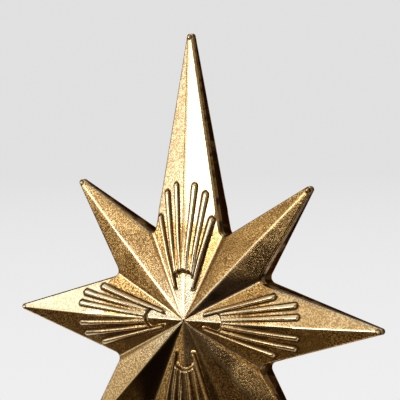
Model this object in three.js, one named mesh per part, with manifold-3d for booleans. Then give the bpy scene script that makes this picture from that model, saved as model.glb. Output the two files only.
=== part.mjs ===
// Eight-pointed metal star tree topper: two pressed half shells on a wire coil.
// Millimetres. The star stands in the XZ plane, its front faces -Y and +Z is up.
// The origin is the middle of the coil's mouth, where the tree's leader goes in.
import * as THREE from "three";
import { mergeVertices } from "three/addons/utils/BufferGeometryUtils.js";
import Module from "manifold-3d";

const wasm = await Module();
wasm.setup();

// Reach of the arms, from the star's centre to the nose of each
const topArmReach = 136.7;
const bottomArmReach = 136.7;
const sideArmReach = 102;
const diagonalArmReach = 92;

// Inner corners between the arms, as sharp corners before rounding
const innerCornerReach = 43.6;
const uprightArmHalfAngle = 25.6; // degrees between the upright arms' axis and their corners
const sideArmHalfAngle = 27; // the same for the side arms
const innerCornerRadius = 3;

// Blunt noses of the arms; the bottom one is wider, because the wire leaves through it
const noseHalfWidth = 1.5;
const bottomNoseHalfWidth = 2.8;
const noseBulge = 1.2;
const innerNoseHalfWidth = 0.3;

// Heights over the middle plane, the same on the front and the back
const apexHeight = 9.65;
const cornerHalfDepth = 5.5;
const tipHalfDepth = 2.1;
const noseRidgeRise = 0.4;
const uprightRidgeBreak = { along: 66, height: 7.4 };
const sideRidgeBreak = { along: 60, height: 9.5 };
const diagonalRidgeBreak = { along: 60, height: 5.7 };

// Sheet, and the lap joint between the front shell's lip and the back shell's flange
const sheetThickness = 0.7;
const jointGap = 0.3;
const seamHeightAtTip = -0.4;
const seamHeightAtCorner = 1.6;
const flangeHeight = 2;
const leastStep = 0.15;

// Pressed ribs: each fan has three on either side of its arm's ridge, [along, across] from
// the centre along the arm; they widen outwards and have round ends
const uprightFan = [
  { inner: [23, 1.5], outer: [66, 5.8] },
  { inner: [20.6, 4.4], outer: [62, 11.6] },
  { inner: [15.5, 5], outer: [50, 14.5] },
];
const sideFan = [
  { inner: [20.7, 1.5], outer: [59.4, 5.2] },
  { inner: [20.7, 4.3], outer: [57.6, 10.4] },
  { inner: [14, 4.2], outer: [48.7, 14.1] },
];
const ribInnerHalfWidth = 1.1;
const ribOuterHalfWidth = 1.7;
const ribHeight = 1.1;
const ribRoot = 0.35; // how far a rib's foot reaches into the sheet

// Wire coil and its stem, which lies along the back shell's lower ridge
const wireDiameter = 2.4;
const stemTop = 66; // below the star's centre
const stemBend = 130;
const neckLength = 12; // from the bottom nose to the coil's first turn
const coilTopRadius = 9;
const coilBottomRadius = 19;
const coilHeight = 60;
const coilTurns = 6;
const entryTurns = 0.75; // the wire spirals out from the axis over this share of a turn
const levelTurns = 1; // the last turn runs level
const stepsPerTurn = 24;
const wireSides = 6;

// Straps that hold the stem, and their rivets
const strapPlaces = [75, 90]; // below the star's centre
const strapLength = 8;
const strapHalfWidth = 6.4;
const strapThickness = 0.8;
const rivetAcross = 4.4;
const rivetShankRadius = 0.9;
const rivetHeadRadius = 1.8;
const rivetHeadHeight = 0.9;
const roundSegments = 16;

// Collar that closes the gap round the wire below the bottom nose
const collarLength = 6;
const collarWall = 0.9;

// Colours
const antiqueGold = 0xc8a05f;
const wireGold = 0xb8924f;
const rivetBrass = 0xa8854a;

const fitGap = 0.3;
const noseSteps = 4;
const cornerSteps = 4;
const pointsPerArm = noseSteps + 1 + cornerSteps + 1;
const wireRadius = wireDiameter / 2;
const starCentreHeight = bottomArmReach + neckLength + coilHeight + wireRadius;

const radians = THREE.MathUtils.degToRad;
const mix = THREE.MathUtils.lerp;

// Arms in order round the star, seen from the front, from the right-hand one
const uprightArm = { ridge: uprightRidgeBreak, fan: uprightFan, nose: noseHalfWidth };
const sideArm = { ridge: sideRidgeBreak, fan: sideFan, nose: noseHalfWidth, reach: sideArmReach };
const diagonalArm = { ridge: diagonalRidgeBreak, fan: [], nose: noseHalfWidth, reach: diagonalArmReach };
const arms = [
  { ...sideArm },
  { ...diagonalArm },
  { ...uprightArm, reach: topArmReach },
  { ...diagonalArm },
  { ...sideArm },
  { ...diagonalArm },
  { ...uprightArm, reach: bottomArmReach, nose: bottomNoseHalfWidth },
  { ...diagonalArm },
].map((arm, k) => ({ ...arm, angle: 45 * k }));
const bottomArm = arms[6];

const cornerAngles = [0, 90, 180, 270].flatMap((quarter) => {
  const upright = quarter % 180 === 90;
  const near = upright ? uprightArmHalfAngle : sideArmHalfAngle;
  const far = upright ? sideArmHalfAngle : uprightArmHalfAngle;
  return [quarter + near, quarter + 90 - far];
});

// A point of the star's plane, given along and across an arm
function onArm(arm, along, across) {
  const a = radians(arm.angle);
  return new THREE.Vector2(
    along * Math.cos(a) - across * Math.sin(a),
    along * Math.sin(a) + across * Math.cos(a),
  );
}

// One straight side of an arm, in the arm's own along and across; side is 1 left, -1 right
function armSide(k, side) {
  const arm = arms[k];
  const corner = cornerAngles[side > 0 ? k : (k + 7) % 8];
  const between = Math.abs(radians(((corner - arm.angle + 540) % 360) - 180));
  const corneringAlong = innerCornerReach * Math.cos(between);
  const corneringAcross = innerCornerReach * Math.sin(between);
  const end = arm.reach - noseBulge;
  const slope = (corneringAcross - arm.nose) / (end - corneringAlong);
  const spread = Math.hypot(1, slope);
  const halfWidth = (along, inset) => arm.nose + slope * (end - along) - inset * spread;
  return { arm, side, end, slope, spread, corneringAlong, corneringAcross, halfWidth };
}

const sides = arms.map((arm, k) => ({ left: armSide(k, 1), right: armSide(k, -1) }));

// Where the nose of an arm sits on an outline drawn that far inside the outer one
function noseAlong(k, inset) {
  if (inset === 0) return sides[k].left.end;
  const reachOf = (s) => s.end - (innerNoseHalfWidth - s.arm.nose + inset * s.spread) / s.slope;
  return Math.min(sides[k].left.end - inset, reachOf(sides[k].left), reachOf(sides[k].right));
}

function nosePoints(k, inset) {
  const along = noseAlong(k, inset);
  const bulge = inset === 0 ? noseBulge : innerNoseHalfWidth;
  return Array.from({ length: noseSteps + 1 }, (_, i) => {
    const turn = mix(-Math.PI / 2, Math.PI / 2, i / noseSteps);
    const side = turn < 0 ? sides[k].right : sides[k].left;
    const across = side.halfWidth(along, inset) * Math.sin(turn);
    return onArm(arms[k], along + bulge * Math.cos(turn), across);
  });
}

// A side of an arm as a line in the star's plane, running outwards from the corner
function sideLine(s, inset) {
  const near = onArm(s.arm, s.corneringAlong, s.side * s.halfWidth(s.corneringAlong, inset));
  const far = onArm(s.arm, s.end, s.side * s.halfWidth(s.end, inset));
  return { near, way: far.sub(near).normalize() };
}

// The rounded inner corner that follows arm k; further in, its radius is larger
function cornerPoints(k, inset) {
  const one = sideLine(sides[k].left, inset);
  const two = sideLine(sides[(k + 1) % 8].right, inset);
  const apart = two.near.clone().sub(one.near);
  const run = apart.cross(two.way) / one.way.cross(two.way);
  const sharp = one.near.clone().addScaledVector(one.way, run);
  const half = Math.acos(one.way.dot(two.way)) / 2;
  const radius = innerCornerRadius + inset;
  const middle = one.way.clone().add(two.way).normalize();
  const centre = sharp.clone().addScaledVector(middle, radius / Math.sin(half));
  const start = sharp.clone().addScaledVector(one.way, radius / Math.tan(half)).sub(centre);
  const turn = 2 * half - Math.PI; // clockwise, because the corner points inwards
  return Array.from({ length: cornerSteps + 1 }, (_, i) =>
    start.clone().rotateAround(new THREE.Vector2(), (turn * i) / cornerSteps).add(centre));
}

function outline(inset) {
  return arms.flatMap((arm, k) => [...nosePoints(k, inset), ...cornerPoints(k, inset)]);
}

// How far out a point of the outline lies, 0 at the inner corner and 1 at the nose
function shareOfSide(point, i) {
  const k = Math.floor(i / pointsPerArm);
  const place = i % pointsPerArm;
  const past = place > noseSteps + 1 + cornerSteps / 2;
  const s = past ? sides[(k + 1) % 8].right : sides[k].left;
  const a = radians(s.arm.angle);
  const along = point.x * Math.cos(a) + point.y * Math.sin(a);
  return THREE.MathUtils.clamp((along - s.corneringAlong) / (s.end - s.corneringAlong), 0, 1);
}

const outerOutline = outline(0);
const rimHeights = outerOutline.map((p, i) => mix(cornerHalfDepth, tipHalfDepth, shareOfSide(p, i)));
const seamHeights = outerOutline.map((p, i) => mix(seamHeightAtCorner, seamHeightAtTip, shareOfSide(p, i)));

// Triangles of one face of the star: outline points first, then the apex, the ridge breaks
// and the ridge ends, seen from the front
function faceTriangles() {
  const count = outerOutline.length;
  const apex = count;
  const triangles = [];
  for (let k = 0; k < 8; k++) {
    const ridge = count + 1 + k;
    const ridgeEnd = count + 9 + k;
    const nose = k * pointsPerArm;
    const before = (nose - 1 - cornerSteps / 2 + count) % count;
    const after = nose + noseSteps + 1 + cornerSteps / 2;
    triangles.push([apex, before, ridge], [apex, ridge, after]);
    for (let i = 0; i <= cornerSteps / 2; i++) {
      triangles.push([ridge, (before + i) % count, (before + i + 1) % count]);
      triangles.push([ridge, after - i - 1, after - i]);
    }
    triangles.push([ridge, nose, ridgeEnd], [ridge, ridgeEnd, nose + noseSteps]);
    for (let i = 0; i < noseSteps; i++) triangles.push([ridgeEnd, nose + i, nose + i + 1]);
  }
  return triangles;
}

const faceParts = faceTriangles();

function innerPoints(inset) {
  const ridges = arms.map((arm) => onArm(arm, arm.ridge.along, 0));
  const ends = arms.map((arm, k) => onArm(arm, noseAlong(k, inset) - noseBulge / 2, 0));
  return [new THREE.Vector2(), ...ridges, ...ends];
}

const outerFace = [...outerOutline, ...innerPoints(0)].map((p, i) => {
  const inner = i - outerOutline.length;
  if (inner < 0) return [p.x, p.y, rimHeights[i]];
  if (inner === 0) return [p.x, p.y, apexHeight];
  if (inner <= 8) return [p.x, p.y, arms[inner - 1].ridge.height];
  return [p.x, p.y, tipHalfDepth + noseRidgeRise];
});

// Height of the faceted face over any point inside the outline
function faceHeight(x, y) {
  let best = { outside: Infinity, height: 0 };
  for (const [i, j, k] of faceParts) {
    const [a, b, c] = [outerFace[i], outerFace[j], outerFace[k]];
    const area = (b[0] - a[0]) * (c[1] - a[1]) - (c[0] - a[0]) * (b[1] - a[1]);
    const shareB = ((x - a[0]) * (c[1] - a[1]) - (c[0] - a[0]) * (y - a[1])) / area;
    const shareC = ((b[0] - a[0]) * (y - a[1]) - (x - a[0]) * (b[1] - a[1])) / area;
    const outside = Math.max(-shareB, -shareC, shareB + shareC - 1);
    const height = a[2] + shareB * (b[2] - a[2]) + shareC * (c[2] - a[2]);
    if (outside < best.outside) best = { outside, height };
    if (outside <= 0) return height;
  }
  return best.height;
}

// The face drawn inset and lowered, with the same triangles as the outer one
function loweredFace(inset, drop) {
  return [...outline(inset), ...innerPoints(inset)].map((p) => [p.x, p.y, faceHeight(p.x, p.y) - drop]);
}

function ringAt(inset, heights) {
  return outline(inset).map((p, i) => [p.x, p.y, heights[i]]);
}

// A closed body from a top face, rings that lead down from its rim, and a bottom face
function closedBody(topFace, rings, bottomFace) {
  const points = [...topFace];
  const triangles = faceParts.map((t) => [...t]);
  const count = outerOutline.length;
  let upper = 0;
  for (const ring of [...rings, bottomFace]) {
    const lower = points.length;
    points.push(...ring);
    for (let i = 0; i < count; i++) {
      const j = (i + 1) % count;
      triangles.push([upper + i, lower + i, lower + j], [upper + i, lower + j, upper + j]);
    }
    upper = lower;
  }
  for (const [a, b, c] of faceParts) triangles.push([upper + a, upper + c, upper + b]);
  return { points, triangles };
}

function frontShellBody() {
  const lipOuter = ringAt(0, seamHeights);
  const lipInner = ringAt(sheetThickness, seamHeights);
  return closedBody(outerFace, [lipOuter, lipInner], loweredFace(sheetThickness, sheetThickness));
}

function backShellBody() {
  const flangeOuterInset = sheetThickness + jointGap;
  const flangeInnerInset = flangeOuterInset + sheetThickness;
  const mirrored = (face) => face.map(([x, y, z]) => [x, y, -z]);
  const floor = mirrored(loweredFace(sheetThickness, sheetThickness));
  const wallTop = seamHeights.map((h) => h - jointGap);
  const flangeTop = wallTop.map((h) => h + flangeHeight);
  const under = (inset) => outline(inset).map((p, i) =>
    Math.max(wallTop[i] - sheetThickness, sheetThickness + leastStep - faceHeight(p.x, p.y)));
  const rings = [
    ringAt(sheetThickness, under(sheetThickness)),
    ringAt(flangeInnerInset, under(flangeInnerInset)),
    ringAt(flangeInnerInset, flangeTop),
    ringAt(flangeOuterInset, flangeTop),
    ringAt(flangeOuterInset, wallTop),
    ringAt(0, wallTop),
  ];
  return closedBody(floor, rings, mirrored(outerFace));
}

// Where a rib crosses the crease that runs from its arm's ridge break to the inner corner
function creaseCrossing(k, start, way) {
  const corner = new THREE.Vector2(sides[k].left.corneringAlong, sides[k].left.corneringAcross);
  const ridgeBreak = new THREE.Vector2(arms[k].ridge.along, 0);
  const crease = corner.sub(ridgeBreak);
  return ridgeBreak.sub(start).cross(crease) / way.cross(crease);
}

// How far along a rib its sections stand: close together at its round ends and at the crease
function ribStations(length, crossing) {
  const first = ribInnerHalfWidth;
  const last = length - ribOuterHalfWidth;
  const atCrease = [-1, 0, 1].map((s) => crossing + s * ribOuterHalfWidth);
  return [
    ...[0.06, 0.5, 1].map((s) => s * ribInnerHalfWidth),
    ...atCrease.filter((x) => x > first + leastStep && x < last - leastStep),
    ...[1, 0.5, 0.06].map((s) => length - s * ribOuterHalfWidth),
  ];
}

// One pressed rib, following the face under it, on the arm's left (1) or right (-1)
function ribBody(k, rib, side) {
  const arm = arms[k];
  const start = new THREE.Vector2(...rib.inner);
  const run = new THREE.Vector2(...rib.outer).sub(start);
  const length = run.length();
  const way = run.normalize();
  const stations = ribStations(length, creaseCrossing(k, start, way));
  const section = [[-1, -1], [-0.85, 0.45], [-0.5, 0.85], [0, 1], [0.5, 0.85], [0.85, 0.45], [1, -1]];
  const points = [];
  const triangles = [];
  for (const x of stations) {
    const full = mix(ribInnerHalfWidth, ribOuterHalfWidth, x / length);
    const fromEnd = Math.min(x / ribInnerHalfWidth, (length - x) / ribOuterHalfWidth, 1);
    const round = Math.sqrt(1 - (1 - fromEnd) ** 2);
    for (const [across, up] of section) {
      const sway = across * full * round;
      const along = start.x + way.x * x - way.y * sway;
      const sideways = side * (start.y + way.y * x + way.x * sway);
      const p = onArm(arm, along, sideways);
      const rise = up < 0 ? -ribRoot : up * ribHeight * round;
      points.push([p.x, p.y, faceHeight(p.x, p.y) + rise]);
    }
  }
  const around = section.length;
  for (let s = 0; s + 1 < stations.length; s++) {
    for (let i = 0; i < around; i++) {
      const a = s * around + i;
      const b = s * around + ((i + 1) % around);
      triangles.push([a, b, b + around], [a, b + around, a + around]);
    }
  }
  const last = (stations.length - 1) * around;
  for (let i = 1; i + 1 < around; i++) {
    triangles.push([0, i + 1, i], [last, last + i, last + i + 1]);
  }
  return side < 0 ? { points, triangles } : turnedInsideOut({ points, triangles });
}

function turnedInsideOut({ points, triangles }) {
  return { points, triangles: triangles.map(([a, b, c]) => [a, c, b]) };
}

function mirroredToBack({ points, triangles }) {
  return turnedInsideOut({ points: points.map(([x, y, z]) => [x, y, -z]), triangles });
}

const ribs = arms.flatMap((arm, k) => arm.fan.flatMap((rib) => [ribBody(k, rib, 1), ribBody(k, rib, -1)]));

function solidOf({ points, triangles }) {
  const mesh = { numProp: 3, vertProperties: new Float32Array(points.flat()) };
  mesh.triVerts = new Uint32Array(triangles.flat());
  return new wasm.Manifold(new wasm.Mesh(mesh));
}

// The points and triangles of a three.js geometry, as it is placed in the star's frame
function bodyOf(geometry, matrix = new THREE.Matrix4()) {
  let plain = geometry.clone().applyMatrix4(matrix);
  plain.deleteAttribute("normal");
  plain.deleteAttribute("uv");
  plain = mergeVertices(plain, 1e-4);
  const place = plain.getAttribute("position");
  const points = Array.from({ length: place.count }, (_, i) => [place.getX(i), place.getY(i), place.getZ(i)]);
  const order = Array.from(plain.index.array);
  const triangles = [];
  for (let i = 0; i < order.length; i += 3) {
    const t = order.slice(i, i + 3);
    if (new Set(t).size === 3) triangles.push(t);
  }
  return { points, triangles };
}

function geometryOf(solid) {
  const mesh = solid.getMesh();
  const geometry = new THREE.BufferGeometry();
  geometry.setAttribute("position", new THREE.BufferAttribute(new Float32Array(mesh.vertProperties), 3));
  geometry.setIndex(new THREE.BufferAttribute(new Uint32Array(mesh.triVerts), 1));
  return geometry;
}

// The stem lies in the groove of the back shell's lower ridge
const ridgeSlope =
  (bottomArm.ridge.height - tipHalfDepth - noseRidgeRise) /
  (noseAlong(6, 0) - noseBulge / 2 - bottomArm.ridge.along);
const ridgeTilt = Math.atan(ridgeSlope);

function grooveHeight(along) {
  return sheetThickness - faceHeight(0, -along);
}

// How steeply the back shell's inside rises away from the groove
function grooveSlope(along) {
  const across = rivetAcross;
  return (grooveHeight(along) + faceHeight(across, -along) - sheetThickness) / across;
}

const grooveRise = Math.abs(grooveSlope(strapPlaces[0]));
const stemClear = (wireRadius + fitGap) * Math.hypot(1, grooveRise, ridgeSlope);

function stemHeight(along) {
  return grooveHeight(along) + stemClear;
}

// The wire's centre line, from the stem's top to the end of the coil
function wirePath() {
  const points = [
    new THREE.Vector3(0, -stemTop, stemHeight(stemTop)),
    new THREE.Vector3(0, -stemBend, stemHeight(stemBend)),
    new THREE.Vector3(0, -bottomArmReach, 0),
    new THREE.Vector3(0, -(bottomArmReach + neckLength), 0),
  ];
  const steps = Math.round(coilTurns * stepsPerTurn);
  const spread = (coilBottomRadius - coilTopRadius) / coilTurns;
  const slopedTurns = coilTurns - levelTurns / 2;
  for (let i = 1; i <= steps; i++) {
    const turn = i / stepsPerTurn;
    const entry = THREE.MathUtils.smoothstep(turn, 0, entryTurns);
    const radius = entry * (coilTopRadius + spread * turn);
    const late = Math.max(0, turn - (coilTurns - levelTurns));
    const fallen = (turn - late ** 2 / (2 * levelTurns)) / slopedTurns;
    const angle = 2 * Math.PI * turn;
    const down = bottomArmReach + neckLength + coilHeight * fallen;
    points.push(new THREE.Vector3(radius * Math.cos(angle), -down, radius * Math.sin(angle)));
  }
  const tail = points.at(-1).clone().sub(points.at(-2)).setLength(wireDiameter);
  points.push(points.at(-1).clone().add(tail));
  return points;
}

// A tube of the given radius round a list of points, closed at both ends
function tubeGeometry(path, radius, sideCount) {
  const points = [];
  const index = [];
  let across = new THREE.Vector3(1, 0, 0);
  path.forEach((p, i) => {
    const before = path[Math.max(i - 1, 0)];
    const after = path[Math.min(i + 1, path.length - 1)];
    const way = after.clone().sub(before).normalize();
    across = across.clone().addScaledVector(way, -across.dot(way)).normalize();
    const other = way.clone().cross(across);
    for (let s = 0; s < sideCount; s++) {
      const a = (2 * Math.PI * s) / sideCount;
      const q = p.clone().addScaledVector(across, radius * Math.cos(a)).addScaledVector(other, radius * Math.sin(a));
      points.push(q.x, q.y, q.z);
    }
  });
  const last = (path.length - 1) * sideCount;
  for (let base = 0; base < last; base += sideCount) {
    for (let s = 0; s < sideCount; s++) {
      const a = base + s;
      const b = base + ((s + 1) % sideCount);
      index.push(a, b, b + sideCount, a, b + sideCount, a + sideCount);
    }
  }
  for (let s = 1; s + 1 < sideCount; s++) {
    index.push(0, s + 1, s, last, last + s, last + s + 1);
  }
  const geometry = new THREE.BufferGeometry();
  geometry.setAttribute("position", new THREE.Float32BufferAttribute(points, 3));
  geometry.setIndex(index);
  return geometry;
}

// Least distance between the wire's surfaces on different turns
function leastCoilGap(path) {
  let least = Infinity;
  const apartSteps = stepsPerTurn / 2;
  for (let i = 0; i < path.length; i++) {
    for (let j = i + apartSteps; j < path.length; j++) {
      least = Math.min(least, path[i].distanceTo(path[j]) - wireDiameter);
    }
  }
  return least;
}

const wireLine = wirePath();
console.log("least gap between the coil's turns, mm:", leastCoilGap(wireLine).toFixed(2));

// A frame on the back shell's inside at the groove: X across, Y along the ridge towards the
// nose, Z into the star
function grooveFrame(along) {
  const place = new THREE.Matrix4().makeTranslation(0, -along, grooveHeight(along));
  const turn = new THREE.Matrix4().makeRotationX(-ridgeTilt);
  const flip = new THREE.Matrix4().makeRotationZ(Math.PI);
  return place.multiply(turn).multiply(flip);
}

// A strap's section: flat feet on the shell's two slopes and an arch over the wire
function strapGeometry() {
  const lean = Math.hypot(1, grooveRise);
  const foot = (x, lift) => new THREE.Vector2(x, grooveRise * Math.abs(x) + lift * lean);
  const archInner = wireRadius + fitGap;
  const archOuter = archInner + strapThickness;
  const arc = (radius, from, to) => Array.from({ length: roundSegments / 2 + 1 }, (_, i) => {
    const a = mix(from, to, (2 * i) / roundSegments);
    return new THREE.Vector2(radius * Math.cos(a), stemClear + radius * Math.sin(a));
  });
  const shape = new THREE.Shape([
    foot(-strapHalfWidth, fitGap),
    foot(-archInner, fitGap),
    ...arc(archInner, Math.PI, 0),
    foot(archInner, fitGap),
    foot(strapHalfWidth, fitGap),
    foot(strapHalfWidth, fitGap + strapThickness),
    foot(archOuter, fitGap + strapThickness),
    ...arc(archOuter, 0, Math.PI),
    foot(-archOuter, fitGap + strapThickness),
    foot(-strapHalfWidth, fitGap + strapThickness),
  ]);
  const strap = new THREE.ExtrudeGeometry(shape, { depth: strapLength, bevelEnabled: false });
  return strap.translate(0, 0, -strapLength / 2).rotateX(Math.PI / 2).rotateZ(Math.PI);
}

// A rivet stands square on one slope; its Y axis points into the star
function rivetFrame(along, side) {
  const lean = Math.atan(grooveRise);
  const local = new THREE.Matrix4().makeTranslation(side * rivetAcross, 0, grooveRise * rivetAcross);
  const tip = new THREE.Matrix4().makeRotationY(-side * lean);
  const stand = new THREE.Matrix4().makeRotationX(Math.PI / 2);
  return grooveFrame(along).multiply(local).multiply(tip).multiply(stand);
}

function rivetGeometry() {
  const under = -sheetThickness - fitGap;
  const over = fitGap + strapThickness + fitGap;
  const dome = (base, up) => Array.from({ length: 4 }, (_, i) => {
    const a = (Math.PI / 2) * (i / 4);
    return new THREE.Vector2(rivetHeadRadius * Math.cos(a), base + up * rivetHeadHeight * Math.sin(a));
  });
  const profile = [
    new THREE.Vector2(0, under - rivetHeadHeight),
    ...dome(under, -1).reverse(),
    new THREE.Vector2(rivetShankRadius, under),
    new THREE.Vector2(rivetShankRadius, over),
    ...dome(over, 1),
    new THREE.Vector2(0, over + rivetHeadHeight),
  ];
  return new THREE.LatheGeometry(profile, roundSegments);
}

function rivetHole(along, side) {
  const hole = new THREE.CylinderGeometry(
    rivetShankRadius + fitGap,
    rivetShankRadius + fitGap,
    8 * strapThickness,
    roundSegments,
  );
  return solidOf(bodyOf(hole, rivetFrame(along, side)));
}

function collarGeometry() {
  const inner = wireRadius + fitGap;
  const outer = inner + collarWall;
  const top = -(bottomArmReach + fitGap);
  const chamfer = collarWall / 2;
  const profile = [
    [inner, top - collarLength],
    [outer - chamfer, top - collarLength],
    [outer, top - collarLength + chamfer],
    [outer, top - chamfer],
    [outer - chamfer, top],
    [inner, top],
    [inner, top - collarLength],
  ].map(([x, y]) => new THREE.Vector2(x, y));
  return new THREE.LatheGeometry(profile, roundSegments);
}

const rivetPlaces = strapPlaces.flatMap((along) => [-1, 1].map((side) => ({ along, side })));
const wireClearance = solidOf(bodyOf(tubeGeometry(wireLine.slice(0, 4), wireRadius + fitGap, roundSegments)));

function frontShellSolid() {
  const ribbed = ribs.reduce((shell, rib) => shell.add(solidOf(rib)), solidOf(frontShellBody()));
  return ribbed.subtract(wireClearance);
}

function backShellSolid() {
  const plain = solidOf(backShellBody());
  const ribbed = ribs.reduce((shell, rib) => shell.add(solidOf(mirroredToBack(rib))), plain);
  const holes = rivetPlaces.map(({ along, side }) => rivetHole(along, side));
  return holes.reduce((shell, hole) => shell.subtract(hole), ribbed.subtract(wireClearance));
}

function strapSolid(along) {
  const strap = solidOf(bodyOf(strapGeometry(), grooveFrame(along)));
  const holes = [-1, 1].map((side) => rivetHole(along, side));
  return holes.reduce((left, hole) => left.subtract(hole), strap);
}

function metal(color, roughness) {
  return new THREE.MeshStandardMaterial({ color, roughness, metalness: 1 });
}

const star = new THREE.Group();
star.rotation.x = Math.PI / 2;
star.position.z = starCentreHeight;

function addPiece(name, geometry, material) {
  const mesh = new THREE.Mesh(geometry, material);
  mesh.name = name;
  star.add(mesh);
  return mesh;
}

addPiece("front_shell", geometryOf(frontShellSolid()), metal(antiqueGold, 0.45));
addPiece("back_shell", geometryOf(backShellSolid()), metal(antiqueGold, 0.45));
addPiece("tree_coil", tubeGeometry(wireLine, wireRadius, wireSides), metal(wireGold, 0.35));
addPiece("stem_collar", collarGeometry(), metal(rivetBrass, 0.35));
strapPlaces.forEach((along, i) => {
  const name = i === 0 ? "upper_stem_strap" : "lower_stem_strap";
  addPiece(name, geometryOf(strapSolid(along)), metal(rivetBrass, 0.5));
});
rivetPlaces.forEach(({ along, side }, i) => {
  const rivet = addPiece(`strap_rivet_${i + 1}`, rivetGeometry(), metal(rivetBrass, 0.4));
  rivet.applyMatrix4(rivetFrame(along, side));
});

const model = new THREE.Group();
model.add(star);

export default model;
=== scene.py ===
# Eight-pointed metal star tree topper: the dressed meshes, their finishes and the stage.
# Metres. The star stands in the XZ plane, its front faces -Y and +Z is up.
import math
from dataclasses import dataclass

import bmesh
import bpy
import numpy as np
from bpy.props import FloatProperty, FloatVectorProperty, IntProperty, PointerProperty
from mathutils import Matrix, Vector


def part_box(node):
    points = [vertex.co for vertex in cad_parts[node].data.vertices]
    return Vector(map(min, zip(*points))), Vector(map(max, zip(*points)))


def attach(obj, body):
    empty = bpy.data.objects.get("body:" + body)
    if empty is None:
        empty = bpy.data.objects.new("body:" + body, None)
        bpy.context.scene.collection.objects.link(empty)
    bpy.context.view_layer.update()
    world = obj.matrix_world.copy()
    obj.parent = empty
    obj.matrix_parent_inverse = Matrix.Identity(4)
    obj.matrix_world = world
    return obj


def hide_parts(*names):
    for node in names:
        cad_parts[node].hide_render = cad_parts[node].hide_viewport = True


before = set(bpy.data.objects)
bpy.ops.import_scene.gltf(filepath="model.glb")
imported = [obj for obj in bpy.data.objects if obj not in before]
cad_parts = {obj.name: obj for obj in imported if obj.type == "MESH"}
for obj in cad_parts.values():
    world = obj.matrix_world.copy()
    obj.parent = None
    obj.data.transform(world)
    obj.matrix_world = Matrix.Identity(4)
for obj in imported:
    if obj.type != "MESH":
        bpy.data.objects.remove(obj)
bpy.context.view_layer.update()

bl_info = {
    "name": "Metal star topper",
    "version": (1, 0, 0),
    "blender": (4, 5, 0),
    "location": "3D View > Sidebar > Star",
    "description": "Makes the pieces of an eight-pointed metal star topper and the stage it stands on",
    "category": "Object",
}

MM = 0.001
SHELL_LOW, SHELL_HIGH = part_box("front_shell")
STAR_CENTRE = (SHELL_LOW.z + SHELL_HIGH.z) / 2
WIRE_LOW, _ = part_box("tree_coil")
BODY = "root"


def length(name, description, millimetres):
    """A length property, written in millimetres."""
    return FloatProperty(name=name, description=description, default=millimetres * MM,
                         min=0, precision=4, subtype="DISTANCE", unit="LENGTH")


def colour(name, description, value):
    return FloatVectorProperty(name=name, description=description, default=value,
                               size=3, min=0, max=1, subtype="COLOR")


def factor(name, description, value):
    return FloatProperty(name=name, description=description, default=value,
                         min=0, max=1, subtype="FACTOR")


def count(name, description, value):
    return IntProperty(name=name, description=description, default=value, min=1)


def half_angle(name, description, degrees):
    return FloatProperty(name=name, description=description, default=math.radians(degrees),
                         subtype="ANGLE", unit="ROTATION")


def level(name, description, value):
    """A lamp's brightness, where 1 is white."""
    return FloatProperty(name=name, description=description, default=value, min=0)


class StarSizes(bpy.types.PropertyGroup):
    """Sizes of the star's two pressed shells."""
    upright_reach: length("Upright reach", "Centre to the nose of the top and bottom arms",
                          (SHELL_HIGH.z - STAR_CENTRE) / MM)
    side_reach: length("Side reach", "Centre to the nose of the left and right arms", SHELL_HIGH.x / MM)
    diagonal_reach: length("Diagonal reach", "Centre to the nose of the four short arms", 92)
    corner_reach: length("Corner reach", "Centre to the sharp inner corners between the arms", 43.6)
    upright_half_angle: half_angle("Upright half angle",
                                   "Between an upright arm's axis and its inner corners", 25.6)
    side_half_angle: half_angle("Side half angle", "Between a side arm's axis and its inner corners", 27)
    corner_radius: length("Corner radius", "Rounding of the inner corners", 3)
    nose: length("Nose half width", "Half the width of a blunt nose", 1.5)
    bottom_nose: length("Bottom nose half width", "Half the width of the nose the wire leaves", 2.8)
    nose_bulge: length("Nose bulge", "How far a nose swells past its straight sides", 1.2)
    inner_nose: length("Inner nose", "Least half width of a nose inside the sheet", 0.3)
    apex: length("Apex height", "Height of the centre over the middle plane", 9.65)
    corner_depth: length("Corner depth", "Half the star's depth at the inner corners", 5.5)
    tip_depth: length("Tip depth", "Half the star's depth at the noses", 2.1)
    upright_break: length("Upright break", "Where an upright arm's ridge turns down", 66)
    upright_break_height: length("Upright break height", "Height of that turn", 7.4)
    side_break: length("Side break", "Where a side arm's ridge turns down", 60)
    side_break_height: length("Side break height", "Height of that turn", 9.5)
    diagonal_break: length("Diagonal break", "Where a short arm's ridge turns down", 60)
    diagonal_break_height: length("Diagonal break height", "Height of that turn", 5.7)
    sheet: length("Sheet thickness", "Thickness of the pressed sheet", 0.7)
    joint_gap: length("Joint gap", "Gap of the lap joint round the edge", 0.3)
    flange: length("Flange height", "Height of the back shell's flange in the joint", 2)
    corner_seam: length("Corner seam", "Height of the joint at the inner corners", 1.6)
    tip_seam: length("Tip seam", "How far the joint lies behind the middle plane at the noses", 0.4)
    knob: length("Knob radius", "Radius of the small knob on each nose", 1.15)
    knob_height: length("Knob height", "Height of that knob", 0.55)
    edge_roll: length("Edge roll", "Radius of the rolled edge round each face", 0.9)
    lip_roll: length("Lip roll", "Radius of the lip's lower edge", 0.25)
    ridge_roll: length("Ridge roll", "Rounding of the ridges near the noses", 0.5)
    inner_ridge_roll: length("Inner ridge roll", "Rounding of the ridges inside the fans", 1.0)
    valley_roll: length("Valley roll", "Rounding of the valleys between the arms", 0.35)
    front_columns: count("Front columns", "Mesh columns between ridge and edge, front", 50)
    back_columns: count("Back columns", "Mesh columns between ridge and edge, back", 24)


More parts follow.
